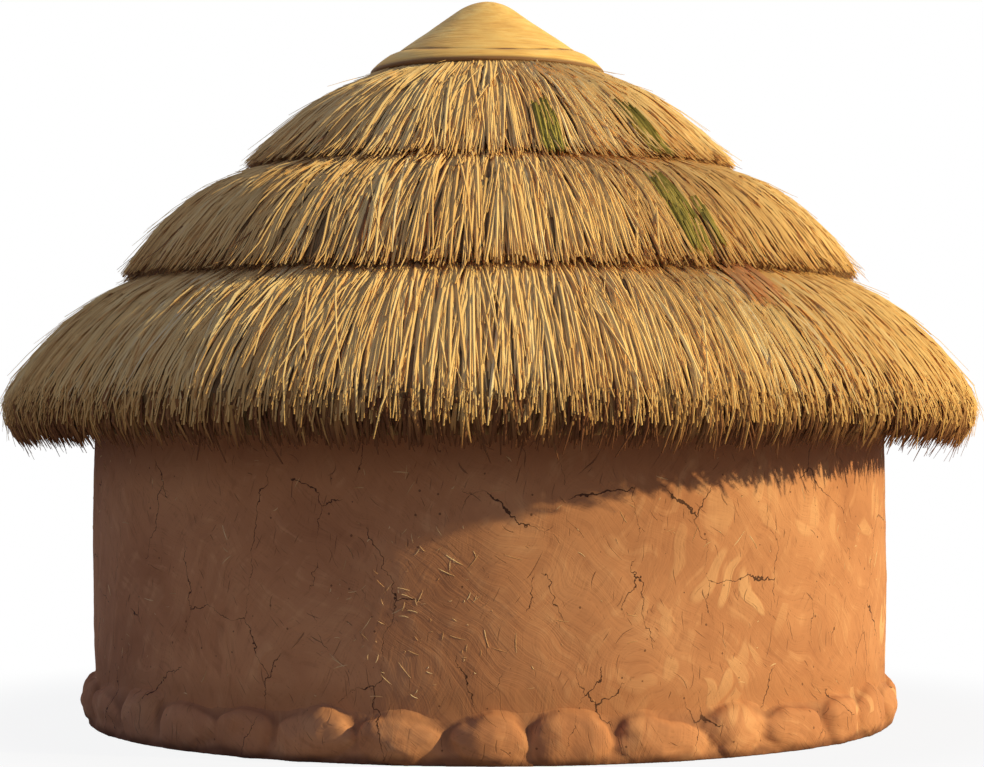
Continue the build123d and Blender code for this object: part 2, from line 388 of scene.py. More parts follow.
    # The stick's flat side lies on the roof and its ridge looks outwards
    across = plus(times(lean, walked), bend, times(place[1], wide))
    liftEnd = plus(get["Tip Lift"], times(stray, stems["strayLift"]))
    loose = plus(chance(12, 0.0, get["Rise"]), times(bold, stems["boldLift"]),
                 plus(times(tuft, stems["clumpLift"]), swelling))
    lift = plus(minus(plus(get["Base Lift"], times(loose, free)), depth),
                plus(times(along, along, times(liftEnd, chance(13))), times(place[0], thick)))
    outRadius = minus(at[0], times(lift, way[2]))
    height = plus(at[2], times(lift, way[0]))
    pulled = times(inBundle, drawn, minus(1.0, times(along, 0.6)))
    angle = minus(plus(turn, over(across, calc("MAXIMUM", outRadius, 0.05))),
                  over(times(pulled, 2 * math.pi), get["Bundles"]))
    target = combine(times(outRadius, calc("COSINE", angle)), times(outRadius, calc("SINE", angle)),
                     height)
    # Each stem's shade of straw runs along the map's first axis and its length along the second
    # Stems that lie deeper are darker: painted shade of the stems over them
    buried = over(depth, calc("MAXIMUM", get["Depth"], 0.05))
    shade = plus(times(chance(14), get["Shade Span"]), times(other, stems["clumpShade"]),
                 minus(get["Shade From"], times(buried, get["Buried Shade"])))
    shade = plus(shade, plus(times(bold, stems["boldShade"]),
                             chance(21, -stems["bundleShade"], stems["bundleShade"], bundle)))
    hanging = calc("MAXIMUM", minus(reached, plus(get["Lip"], stems["hangingFrom"])), 0.0)
    # Front Shade darkens the stems towards the front: painted shade under the eave
    shade = minus(shade, times(hanging, stems["hangingShade"]), times(facing, facing, get["Front Shade"]))
    shade = calc("MINIMUM", calc("MAXIMUM", shade, 0.02), 0.98)
    mapped = addNode(tree, "GeometryNodeStoreNamedAttribute",
                     {"Geometry": real.outputs[0], "Name": "OFBake",
                      "Value": combine(shade, plus(0.02, times(along, 0.96)))},
                     data_type="FLOAT2", domain="CORNER")
    shaped = addNode(tree, "GeometryNodeSetPosition", {"Geometry": mapped.outputs[0], "Position": target})
    endTree(tree, result, shaped.outputs[0], get["Stems Material"])
    return tree


stemTints = {
    "dryStems": ((0.0, (0.17, 0.060, 0.021)), (0.14, (0.40, 0.180, 0.052)), (0.28, (0.66, 0.360, 0.100)),
                 (0.48, (0.85, 0.505, 0.145)), (0.68, (0.94, 0.590, 0.180)), (0.86, (0.98, 0.670, 0.230)),
                 (1.0, (0.99, 0.75, 0.33))),
    "mossyStems": ((0.0, (0.20, 0.155, 0.024)), (0.5, (0.40, 0.315, 0.048)), (1.0, (0.62, 0.46, 0.090))),
    "russetStems": ((0.0, (0.60, 0.25, 0.08)), (0.5, (0.86, 0.42, 0.13)), (1.0, (0.94, 0.54, 0.18))),
}
# Darker where a stem starts, and browner at its tip
alongStem = ((0.0, (0.66, 0.64, 0.60)), (0.35, (0.92, 0.92, 0.92)), (0.85, (1.0, 1.0, 1.0)),
             (1.0, (0.84, 0.76, 0.66)))


def stemsMaterial(name, tints):
    material, tree, shader = newMaterial(name, roughness=0.84, specular=0.13)
    axes = split(addNode(tree, "ShaderNodeUVMap", uv_map="OFBake").outputs[0])
    colour = mixColour(1.0, ramp(axes[0], tints), ramp(axes[1], alongStem), "MULTIPLY")
    tree.links.new(colour, shader.inputs["Base Color"])
    return material


def thatchBedMaterial():
    material, tree, shader = newMaterial("packedThatch", roughness=0.9, specular=0.15)
    x, y, height = split(objectPlace(tree))
    direction = vecCalc("NORMALIZE", combine(x, y))
    streak = noise(aroundAxis(direction, height, 210.0, 6.0), 1.0, 3.0, 0.6)
    band = noise(aroundAxis(direction, height, 38.0, 2.0), 1.0, 2.0)
    mixed = plus(times(streak, 0.75), times(band, 0.25))
    # Dark browns: partly the packed straw's own colour, partly painted shade for the gaps between the stems
    # laid over it
    colour = ramp(mixed, [(0.30, (0.075, 0.036, 0.013)), (0.46, (0.21, 0.115, 0.038)),
                          (0.58, (0.38, 0.225, 0.075)), (0.72, (0.56, 0.35, 0.125))])
    tree.links.new(colour, shader.inputs["Base Color"])
    addBump(tree, shader, streak, 0.9, 0.012)
    return material


courses = {
    # Over: carries the stems on past the lip. Tips: how far past the lip the stems end.
    # The lip layers' low shadeFrom makes them dark: partly the butts' own brown, partly painted shade under
    # each course's edge and under the eave. The lower lip's frontShade is painted shade too.
    "lower": {
        "node": "thatch_lower_course", "seed": 100, "width": 0.0108, "bundles": 104.0, "swell": 0.036,
        "strayReach": 0.12, "frontReach": 0.0,
        "over": ((-0.022, 0.258), (-0.058, 0.215), (-0.083, 0.155), (-0.094, 0.098), (-0.096, 0.040)),
        "layers": {
            "top": {"count": 7600, "shortest": 0.60, "longest": 1.20, "depth": 0.012, "rake": 0.0,
                    "tipsFrom": -0.01, "tipsTo": 0.175, "shadeFrom": 0.41, "frontShade": 0.0},
            "lip": {"count": 5400, "shortest": 0.16, "longest": 0.34, "depth": 0.060, "rake": 0.0,
                    "tipsFrom": 0.17, "tipsTo": 0.345, "shadeFrom": 0.12, "frontShade": 0.12}}},
    "middle": {
        "node": "thatch_middle_course", "seed": 200, "width": 0.0102, "bundles": 84.0, "swell": 0.044,
        "strayReach": 0.09, "frontReach": 0.125,
        "over": ((1.020, 0.376), (0.960, 0.380), (0.880, 0.386)),
        "layers": {
            "top": {"count": 5400, "shortest": 0.55, "longest": 1.10, "depth": 0.010, "rake": 0.0,
                    "tipsFrom": -0.10, "tipsTo": 0.03, "shadeFrom": 0.34, "frontShade": 0.0},
            "lip": {"count": 2300, "shortest": 0.22, "longest": 0.42, "depth": 0.065, "rake": 0.55,
                    "tipsFrom": -0.06, "tipsTo": 0.03, "shadeFrom": 0.03, "frontShade": 0.0}}},
    "upper": {
        "node": "thatch_upper_course", "seed": 300, "width": 0.0098, "bundles": 58.0, "swell": 0.054,
        "strayReach": 0.08, "frontReach": 0.190,
        "over": ((2.040, 0.391), (1.960, 0.400), (1.880, 0.408)),
        "layers": {
            "top": {"count": 3900, "shortest": 0.50, "longest": 1.00, "depth": 0.010, "rake": 0.0,
                    "tipsFrom": -0.09, "tipsTo": 0.03, "shadeFrom": 0.43, "frontShade": 0.0},
            "lip": {"count": 1500, "shortest": 0.20, "longest": 0.38, "depth": 0.055, "rake": 0.55,
                    "tipsFrom": -0.05, "tipsTo": 0.03, "shadeFrom": 0.06, "frontShade": 0.0}}},
}
# What a layer has in every course
layerLook = {
    "top": {"seedStep": 0, "lipShare": 0.46, "shadeSpan": 0.40, "buriedShade": 0.0, "baseLift": 0.007,
            "frontPart": 1.0, "segments": 4},
    "lip": {"seedStep": 50, "lipShare": 1.0, "shadeSpan": 0.22, "buriedShade": 0.10, "baseLift": 0.0,
            "frontPart": 0.45, "segments": 2},
}


def guideLine(name):
    lip, crown, top = (onSlope(*point) for point in roof[name])
    arc = arcThrough(top, crown, lip, 18)
    entry = (arc[1] - arc[0]).normalized()
    over = [onSlope(*point) for point in courses[name]["over"]]
    path = [arc[0] - entry * stems["hidden"]] + arc + over
    leave = (path[-1] - path[-2]).normalized()
    points = path + [path[-1] + leave * stems["runOut"]]
    toLip = sum((b - a).length for a, b in zip(points, points[1:len(arc) + 1]))
    piece = meshObject(f"{name}_guide", points, [], edges=[(k, k + 1) for k in range(len(points) - 1)])
    return piece, toLip, arc[0].x, arc[-1].x


def layCourse(name, tree, material):
    plan = courses[name]
    made = []
    for layer, look in layerLook.items():
        here = {**stems, **plan, **look, **plan["layers"][layer]}
        piece, lipAt, topRadius, lipRadius = guideLine(name)
        piece.name = f"{name}_course_{layer}_stems"
        runTree(piece, tree, {
            **labelled(here),
            "Count": here["count"] // 1,
            "Seed": plan["seed"] + look["seedStep"], "Thickness": plan["width"] * stems["flatness"],
            "Lip": lipAt, "Top Radius": topRadius, "Lip Radius": lipRadius,
            "Front Reach": plan["frontReach"] * look["frontPart"],
            "Pressed To": stems["hidden"], "Stems Material": material})
        made.append(piece)
    return made


# Small runs of stems of another colour: the course, the material, the middle angle from the
# front and its spread in degrees, how far down the course the tips are, the count and the seed
patches = {
    "moss_upper_front": ("upper", "mossyStems", 13.5, 4.8, 0.80, 1.08, 80, 900),
    "moss_upper_right": ("upper", "mossyStems", 39.5, 5.5, 0.77, 1.04, 100, 940),
    "moss_middle_right": ("middle", "mossyStems", 31.0, 3.8, 0.62, 1.08, 120, 980),
    "moss_middle_small": ("middle", "mossyStems", 35.3, 1.2, 0.88, 1.00, 22, 1020),
    "russet_lower_right": ("lower", "russetStems", 37.0, 6.0, 0.12, 0.46, 60, 1060),
}
patchStems = {
    "shortest": 0.14, "longest": 0.30, "width": 0.0110, "thickness": 0.0045, "depth": 0.006,
    "lipShare": 0.0, "tipsFrom": 0.0, "tipsTo": 0.0, "tipLift": 0.006, "rise": 0.016, "baseLift": 0.021,
    "lean": 0.05, "clumpLean": 0.16, "clumpSize": 0.17, "strayShare": 0.0, "bundles": 90.0, "gather": 0.2,
    "pressedTo": 0.0, "shadeFrom": 0.0, "shadeSpan": 0.9, "segments": 3,
}


def layPatch(name, tree, materials):
    course, tint, turn, spread, first, last, count, seed = patches[name]
    piece, lipAt, topRadius, lipRadius = guideLine(course)
    piece.name = name
    return runTree(piece, tree, {
        **labelled(patchStems), "Count": count, "Seed": seed,
        "Hidden": stems["hidden"] + first, "Lip": stems["hidden"] + last,
        "Top Radius": topRadius, "Lip Radius": lipRadius,
        "Turn From": math.radians(turn - spread / 2 - 90), "Turn Span": math.radians(spread),
        "Stems Material": materials[tint]})


timbers = {
    "peeledPoles": {"dark": (0.14, 0.085, 0.045), "light": (0.38, 0.26, 0.15), "scale": 6.0,
                    "nodes": ("rafter", "wall_plate", "apex_hub")},
    "splitSticks": {"dark": (0.18, 0.11, 0.055), "light": (0.46, 0.33, 0.19), "scale": 9.0,
                    "nodes": ("lath_hoops",)},
    "adzedTimber": {"dark": (0.075, 0.042, 0.022), "light": (0.24, 0.15, 0.085), "scale": 7.0,
                    "nodes": ("door",)},
}


def timberMaterial(name, plan):
    material, tree, shader = newMaterial(name, roughness=0.8)
    place, scale = objectPlace(tree), plan["scale"]
    grain = noise(place, scale, 5.0, 0.6, 0.4)
    streak = noise(vecCalc("MULTIPLY", place, (1.0, 1.0, 0.18)), scale * 5, 3.0)
    mixed = plus(times(grain, 0.5), times(streak, 0.5))
    tree.links.new(ramp(mixed, [(0.3, plan["dark"]), (0.7, plan["light"])]), shader.inputs["Base Color"])
    addBump(tree, shader, mixed, 0.5, 0.006)
    return material


def dress(node, material):
    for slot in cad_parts[node].material_slots:
        slot.link = "OBJECT"
        slot.material = material


wall = {
    "outer": 2.495, "inner": 2.195, "height": 1.933,
    "upright": 0.345, "belly": 0.017, "topRound": 0.055,
    "topFlat": 0.245, "doorHalf": 0.470, "lintelTop": 1.810,
    "around": 500, "overDoor": 40, "step": 0.034,
    "lumpSize": 0.85, "lumpDepth": 0.010, "smearSize": 0.20, "smearDepth": 0.0036,
}


def wallFace(height):
    top = wall["height"] - wall["topRound"]
    if height <= wall["upright"]:
        return wall["outer"]
    if height <= top:
        middle, half = (wall["upright"] + top) / 2, (top - wall["upright"]) / 2
        return wall["outer"] + wall["belly"] * (1 - ((height - middle) / half) ** 2)
    sunk = (height - top) / wall["topRound"]
    return wall["outer"] - wall["topRound"] * (1 - math.sqrt(max(0.0, 1 - sunk * sunk)))


def wallSection(low):
    top, rise = wall["height"] - wall["topRound"], wall["height"] - low
    rows = max(4, round((top - low) / wall["step"]))
    outside = [low + (top - low) * k / rows for k in range(rows + 1)]
    outside += [top + wall["topRound"] * math.sin(math.radians(a)) for a in (22, 44, 66, 90)]
    section = [(wallFace(h), h) for h in outside]
    inside = max(3, rows // 2)
    section += [(wall["inner"] + wall["topFlat"] * (1 - k / 5), wall["height"]) for k in range(1, 5)]
    section += [(wall["inner"], low + rise * (1 - k / inside)) for k in range(inside + 1)]
    section += [(wall["inner"] + (wall["outer"] - wall["inner"]) * k / 6, low) for k in range(1, 6)]
    return section


def doorTurn(radius):
    return math.asin(wall["doorHalf"] / radius)


def wallRings(section, stations):
    # Once round, from one side of the doorway to the other
    rings = []
    for k in range(stations + 1):
        f = k / stations
        ring = []
        for radius, height in section:
            edge = doorTurn(radius)
            a = math.pi / 2 + (1 - f) * edge + f * (2 * math.pi - edge)
            ring.append((radius * math.cos(a), radius * math.sin(a), height))
        rings.append(ring)
    return rings


def reliefTree():
    tree, given, result = geometryTree("mudRelief", {
        "Lump Size": 0.85, "Lump Depth": 0.009, "Smear Size": 0.17, "Smear Depth": 0.004,
        "Grain Size": 0.06, "Grain Depth": 0.0012, "Surface Material": None})
    get = given.outputs
    place = addNode(tree, "GeometryNodeInputPosition").outputs[0]
    normal = addNode(tree, "GeometryNodeInputNormal").outputs[0]

    def swell(size, depth, detail, shift):
        scaled = vecCalc("ADD", vecCalc("SCALE", place, over(1.0, size)), shift)
        level = minus(noise(scaled, 1.0, detail, 0.5, 0.6), 0.5)
        return times(level, times(depth, 3.0))

    total = plus(swell(get["Lump Size"], get["Lump Depth"], 1.0, (7.0, 3.0, 1.0)),
                 plus(swell(get["Smear Size"], get["Smear Depth"], 2.0, (1.0, 8.0, 4.0)),
                      swell(get["Grain Size"], get["Grain Depth"], 2.0, (5.0, 2.0, 9.0))))
    moved = vecCalc("ADD", place, vecCalc("SCALE", normal, total))
    parts, was = split(moved), split(place)
    # Nothing sinks below the ground, and what stands on it stays there
    low = times(calc("GREATER_THAN", was[2], 0.004), calc("MAXIMUM", parts[2], 0.003))
    target = combine(parts[0], parts[1], low)
    shaped = addNode(tree, "GeometryNodeSetPosition", {"Geometry": get["Geometry"], "Position": target})
    endTree(tree, result, shaped.outputs[0], get["Surface Material"])
    return tree


mudColours = {
    "base": ((0.32, (0.52, 0.205, 0.072)), (0.50, (0.64, 0.268, 0.096)), (0.66, (0.73, 0.325, 0.120))),
    "paleStroke": (0.86, 0.43, 0.165), "darkStroke": (0.44, 0.165, 0.058), "paleDaub": (0.95, 0.52, 0.20),
    "soot": (0.28, 0.098, 0.040), "splash": (0.46, 0.185, 0.060), "hair": (0.34, 0.125, 0.040),
    "crack": (0.060, 0.024, 0.010), "foot": (0.19, 0.070, 0.028), "joint": (0.20, 0.080, 0.034),
}
# Where each mark fades in or out: heights, and for the painted joint shade also the distance from the axis
mudBands = {
    "soot": (1.62, 1.94), "splashTop": (0.46, 0.36), "splashFoot": (0.22, 0.28), "foot": (0.015, 0.065),
    "jointTop": (0.20, 0.30), "jointOut": (2.516, 2.540), "sunnyTop": (1.55, 0.75), "sunnySide": (0.4, 2.0),
}


def mudMaterial(name, joints=False):
    material, tree, shader = newMaterial(name, roughness=0.88, specular=0.2)

    def shifted(vector, x, y):
        return vecCalc("ADD", vector, (x, y, 0.0))

    place = objectPlace(tree)
    x, y, height = split(place)
    # The wall rolled out flat, with the join in the middle of the doorway
    around = times(calc("ARCTAN2", x, times(y, -1.0)), wall["outer"])
    rolled = combine(around, height)
    bend = combine(minus(noise(shifted(rolled, 3.0, 9.0), 1.5, 2.0), 0.5),
                   minus(noise(shifted(rolled, 8.0, 1.0), 1.5, 2.0), 0.5))
    swept = split(vecCalc("ADD", rolled, vecCalc("SCALE", bend, 0.55)))

    def brushed(angle, length, width, shift):
        # Along and across a hand's stroke, in stroke lengths and widths
        c, s = math.cos(math.radians(angle)), math.sin(math.radians(angle))
        along = plus(times(swept[0], c / length), times(swept[1], s / length))
        across = minus(times(swept[1], c / width), times(swept[0], s / width))
        return combine(plus(along, shift), across)

    def daubs(angle, length, width, share, shift):
        cell = addNode(tree, "ShaderNodeTexVoronoi",
                       {"Vector": brushed(angle, length, width, shift), "Scale": 1.0, "Randomness": 0.9},
                       voronoi_dimensions="2D")
        tone = addNode(tree, "ShaderNodeSeparateColor", {0: cell.outputs["Color"]})
        inside = remap(cell.outputs["Distance"], 0.30, 0.46, 1.0, 0.0, smooth=True)
        return times(inside, remap(tone.outputs[0], 1.0 - share, 1.04 - share))

    where = noise(shifted(rolled, 1.0, 4.0), 0.8, 2.0)
    tone = noise(rolled, 1.1, 4.0, 0.6)
    colour = ramp(tone, mudColours["base"])
    wide = noise(brushed(62, 0.50, 0.085, 0.0), 1.0, 3.0, 0.55)
    slant = noise(brushed(-38, 0.42, 0.060, 5.0), 1.0, 3.0, 0.55)
    sweep = plus(times(wide, where), times(slant, minus(1.0, where)))
    colour = mixColour(remap(sweep, 0.52, 0.66, 0.0, 0.40, smooth=True), colour, mudColours["paleStroke"])
    colour = mixColour(remap(sweep, 0.34, 0.46, 0.45, 0.0, smooth=True), colour, mudColours["darkStroke"])
    pale = calc("MAXIMUM", daubs(68, 0.30, 0.115, 0.26, 2.0), daubs(-52, 0.26, 0.090, 0.20, 7.0))
    # The pale daubs gather low on the sunny side, and there are a few behind
    sunny = times(remap(around, *mudBands["sunnySide"], 0.12, 1.0, smooth=True),
                  remap(height, *mudBands["sunnyTop"], 0.35, 1.0, smooth=True))
    pale = times(pale, sunny, remap(where, 0.34, 0.50))
    colour = mixColour(times(pale, 0.75), colour, mudColours["paleDaub"])
    ragged = plus(height, times(minus(noise(place, 5.0, 3.0), 0.5), 0.09))
    # Painted shade: the wall darkens towards its top, where the eave shades it
    eaveShade = remap(plus(ragged, times(tone, 0.3)), *mudBands["soot"], 0.0, 0.62, smooth=True)
    colour = mixColour(eaveShade, colour, mudColours["soot"])
    splashed = times(remap(ragged, *mudBands["splashTop"]), remap(ragged, *mudBands["splashFoot"]))
    colour = mixColour(times(splashed, 0.40), colour, mudColours["splash"])
    hairs = plus(times(noise(brushed(62, 0.30, 0.010, 1.0), 1.0, 2.0), where),
                 times(noise(brushed(-38, 0.26, 0.009, 3.0), 1.0, 2.0), minus(1.0, where)))
    colour = mixColour(remap(hairs, 0.34, 0.46, 0.30, 0.0, smooth=True), colour, mudColours["hair"])
    scores = calc("MAXIMUM", remap(noise(brushed(75, 0.20, 0.011, 11.0), 1.0, 1.0), 0.71, 0.75),
                  remap(noise(brushed(-56, 0.17, 0.010, 17.0), 1.0, 1.0), 0.71, 0.75))

    # Dried cracks, mostly upright, that come and go
    jagged = combine(noise(shifted(rolled, 2.0, 7.0), 5.0, 4.0, 0.6),
                     noise(shifted(rolled, 6.0, 3.0), 5.0, 4.0, 0.6))
    cracked = vecCalc("MULTIPLY", vecCalc("ADD", rolled, vecCalc("SCALE", jagged, 0.20)), (1.0, 0.50, 1.0))
    edge = addNode(tree, "ShaderNodeTexVoronoi", {"Vector": cracked, "Scale": 2.3},
                   feature="DISTANCE_TO_EDGE", voronoi_dimensions="2D").outputs["Distance"]
    width = remap(noise(shifted(rolled, 5.0, 5.0), 2.6, 3.0), 0.46, 0.68, 0.0, 0.0075)
    crack = times(calc("LESS_THAN", edge, width), remap(width, 0.0006, 0.002))
    pit = addNode(tree, "ShaderNodeTexVoronoi", {"Vector": rolled, "Scale": 8.0}, voronoi_dimensions="2D")
    pitTone = addNode(tree, "ShaderNodeSeparateColor", {0: pit.outputs["Color"]})
    pitSize = plus(0.015, times(pitTone.outputs[1], 0.045))
    pits = times(calc("LESS_THAN", pit.outputs["Distance"], pitSize),
                 calc("GREATER_THAN", pitTone.outputs[0], 0.78))
    marks = calc("MAXIMUM", calc("MAXIMUM", crack, times(pits, 0.7)), times(scores, 0.5))
    colour = mixColour(times(marks, 0.9), colour, mudColours["crack"])
    # Painted shade: darker at the very foot, where the stones and the wall meet the ground
    foot = remap(ragged, *mudBands["foot"], 1.0, 0.0, smooth=True)
    colour = mixColour(times(foot, 0.72), colour, mudColours["foot"])
    if joints:
        # Painted shade: darker in the recesses between the stones, low down and set back towards the wall's
        # face
        out = vecCalc("LENGTH", combine(x, y))
        sunk = times(remap(out, *mudBands["jointOut"], 1.0, 0.0, smooth=True),
                     remap(height, *mudBands["jointTop"], 1.0, 0.0, smooth=True))
        colour = mixColour(times(sunk, 0.55), colour, mudColours["joint"])
    tree.links.new(colour, shader.inputs["Base Color"])
    relief = minus(plus(times(sweep, 0.9), plus(times(pale, 0.35), times(hairs, 0.28))), times(marks, 1.2))
    addBump(tree, shader, relief, 0.8, 0.010)
    return material


def buildWall(relief, mud):
    whole = wallRings(wallSection(0.0), wall["around"])
    points, faces = loftRings(whole)
    over = wallSection(wall["lintelTop"])
    rings = []
    for k in range(wall["overDoor"] + 1):
        f = k / wall["overDoor"]
        turns = [doorTurn(radius) * (2 * f - 1) for radius, height in over]
        rings.append([(radius * math.sin(a), radius * math.cos(a), height)
                      for a, (radius, height) in zip(turns, over)])
    morePoints, moreFaces = loftRings(rings)
    faces += [tuple(len(points) + k for k in face) for face in moreFaces]
    piece = meshObject("mud_wall", points + morePoints, faces)
    outwards(piece)
    return runTree(piece, relief, {**labelled(wall), "Surface Material": mud})


footing = {
    "voxel": 0.0145, "smoothing": 2, "squareness": 2.5, "roughness": 0.22, "tilt": 10.0, "overlap": 1.09,
    "depth": 0.215, "proud": 0.082, "around": 300, "middle": 0.46, "tall": 0.54,
    "coarseSize": 1.1, "fineSize": 2.6, "fineShare": 0.35,
    # the mud packed between and over the stones: (out from the wall's face, height)
    "bank": ((-0.06, 0.0), (0.040, 0.0), (0.038, 0.05), (0.028, 0.12), (0.018, 0.18),
             (0.008, 0.23), (-0.002, 0.28), (-0.014, 0.33), (-0.06, 0.33)),
    "lumpSize": 0.30, "lumpDepth": 0.006, "smearSize": 0.10, "smearDepth": 0.0035,
}


def stonePlaces(nodes):
    # Each stone's angle around the hut, half length and height, from the frame
    places = []
    for node in nodes:
        shape = bmesh.new()
        shape.from_mesh(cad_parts[node].data)
        bmesh.ops.remove_doubles(shape, verts=shape.verts, dist=1e-5)
        left = set(shape.verts)
        while left:
            island, edgeOf = set(), [left.pop()]
            while edgeOf:
                corner = edgeOf.pop()
                island.add(corner)
                for line in corner.link_edges:
                    other = line.other_vert(corner)
                    if other in left:
                        left.discard(other)
                        edgeOf.append(other)
            # Added up in the mesh's own order, so that every run gives the same place
            middle = sum((corner.co for corner in shape.verts if corner in island), Vector())
            middle /= len(island)
            turn = math.atan2(middle.y, middle.x)
            side = Vector((-math.sin(turn), math.cos(turn), 0))
            reach = [corner.co.dot(side) for corner in island]
            turn += (max(reach) + min(reach)) / 2 / wall["outer"]
            places.append((turn, (max(reach) - min(reach)) / 2, max(corner.co.z for corner in island)))
        shape.free()
    return sorted(places)


def boulder(turn, half, top, number):
    # A rounded block, more square than a ball, that no two stones share
    shape = bmesh.new()
    bmesh.ops.create_icosphere(shape, subdivisions=4, radius=1.0)
    n, seed = footing["squareness"], Vector((number * 3.7, number * 1.9, number * 5.3))
    tilt = math.radians(footing["tilt"]) * math.sin(number * 2.4)
    out = wall["outer"] + footing["proud"] - footing["depth"] / 2
    points = []
    for corner in shape.verts:
        d = corner.co.normalized()
        size = sum(abs(part) ** n for part in d) ** (-1 / n)
        size *= 1 + footing["roughness"] * mathnoise.noise(d * footing["coarseSize"] + seed) \
            + footing["roughness"] * footing["fineShare"] * mathnoise.noise(d * footing["fineSize"] + seed)
        along = d.x * half * footing["overlap"] * size
        across, up = d.y * footing["depth"] / 2 * size, d.z * top * footing["tall"] * size
        along, up = along * math.cos(tilt) - up * math.sin(tilt), along * math.sin(tilt) + up * math.cos(tilt)
        radius, angle = out + across, turn + along / wall["outer"]
        high = max(0.0, top * footing["middle"] + up)
        points.append((radius * math.cos(angle), radius * math.sin(angle), high))
    faces = [tuple(corner.index for corner in face.verts) for face in shape.faces]
    shape.free()
    return points, faces


def buildFooting(relief, mud):
    nodes = [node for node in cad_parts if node.startswith("footing_stones")]
    section = [(wall["outer"] + out, height) for out, height in footing["bank"]]
    points, faces = loftRings(wallRings(section, footing["around"]))
    for number, (turn, half, top) in enumerate(stonePlaces(nodes)):
        base = len(points)
        more, moreFaces = boulder(turn, half, top, number)
        points += more
        faces += [tuple(base + k for k in face) for face in moreFaces]
    piece = meshObject("footing_daub", points, faces)
    outwards(piece)
    remesh = piece.modifiers.new("remesh", "REMESH")
    remesh.mode = "VOXEL"
    remesh.voxel_size = footing["voxel"]
    remesh.use_smooth_shade = True
    soften = piece.modifiers.new("soften", "SMOOTH")
    soften.iterations = footing["smoothing"]
    runTree(piece, relief, {**labelled(footing), "Surface Material": mud})
    piece.modifiers.clear()
    piece.data.polygons.foreach_set("use_smooth", [True] * len(piece.data.polygons))
    return piece, nodes


straws = {"seed": 5, "density": 120.0, "elsewhere": 0.12, "shortest": 0.012, "longest": 0.110,
          "width": 0.0042, "thickness": 0.0026, "bow": 2.2,    # the bow is in widths
          "lowest": 0.31, "highest": 1.70,
          # the worn patch: its turn from the front, and where it fades at the sides, top and foot
          "wornTurn": -0.18, "wornSide": (0.06, 0.28), "wornTop": (1.42, 1.18), "wornFoot": (0.42, 0.60)}


def strawTree():
    tree, given, result = geometryTree("scatterStraws", {
        "Density": 90.0, "Elsewhere": 0.1, "Seed": 5, "Shortest": 0.02, "Longest": 0.09, "Width": 0.0035,
        "Thickness": 0.002, "Bow": 2.2, "Straw Material": None})
    get = given.outputs
    place = addNode(tree, "GeometryNodeInputPosition").outputs[0]
    x, y, height = split(place)
    out = vecCalc("LENGTH", combine(x, y))
    outer = times(calc("GREATER_THAN", out, wall["outer"] - 0.03),
                  times(calc("GREATER_THAN", height, straws["lowest"]),
                        calc("LESS_THAN", height, straws["highest"])))
    # They show most in one worn patch at the front, low on the left
    turn = calc("ARCTAN2", x, times(y, -1.0))
    aside = calc("ABSOLUTE", minus(turn, straws["wornTurn"]))
    patch = times(remap(aside, *straws["wornSide"], 1.0, 0.0, smooth=True),
                  remap(height, *straws["wornTop"], 0.1, 1.0, smooth=True),
                  remap(height, *straws["wornFoot"], 0.3, 1.0, smooth=True))
    rate = times(get["Density"], calc("MAXIMUM", patch, get["Elsewhere"]))
    spread = addNode(tree, "GeometryNodeDistributePointsOnFaces",
                     {"Mesh": get["Geometry"], "Selection": outer, "Density": rate, "Seed": get["Seed"]},
                     distribute_method="RANDOM")
    stick = addNode(tree, "GeometryNodeMeshCylinder",
                    {"Vertices": 3, "Side Segments": 3, "Radius": 1.0, "Depth": 1.0})
    at = split(place)
    bowed = times(get["Bow"], minus(0.25, times(at[2], at[2])))
    tapered = minus(1.0, times(calc("ABSOLUTE", at[2]), 1.2))

    def chance(number, low, high):
        return randomValue(tree, get["Seed"], number, low, high)

    long = plus(get["Shortest"], times(calc("POWER", chance(1, 0.0, 1.0), 2.2),
                                       minus(get["Longest"], get["Shortest"])))
    # Along the stick is its own X here, and its flat side lies on the mud
    shaped = addNode(tree, "GeometryNodeSetPosition",
                     {"Geometry": stick.outputs["Mesh"],
                      "Position": combine(at[2], plus(times(at[1], tapered), bowed),
                                          times(at[0], tapered))})
    laid = addNode(tree, "GeometryNodeInstanceOnPoints",
                   {"Points": spread.outputs["Points"], "Instance": shaped.outputs[0],
                    "Rotation": spread.outputs["Rotation"],
                    "Scale": combine(long, times(get["Width"], chance(2, 0.6, 1.5)), get["Thickness"])})
    spun = addNode(tree, "GeometryNodeRotateInstances",
                   {"Instances": laid.outputs[0], "Rotation": combine(0.0, 0.0, chance(3, 0.0, 2 * math.pi)),
                    "Local Space": True})
    endTree(tree, result, spun.outputs[0], get["Straw Material"])
    return tree


def strawMaterial():
    material, tree, shader = newMaterial("looseStraw", roughness=0.7, specular=0.3)
    tone = noise(objectPlace(tree), 9.0, 1.0)
    tree.links.new(ramp(tone, [(0.35, (0.62, 0.33, 0.11)), (0.65, (0.97, 0.70, 0.30))]),
                   shader.inputs["Base Color"])
    return material


def scatterStraws(mudWall):
    piece = addObject("wall_straws", mudWall.data.copy())
    return runTree(piece, strawTree(), {**labelled(straws), "Straw Material": strawMaterial()})


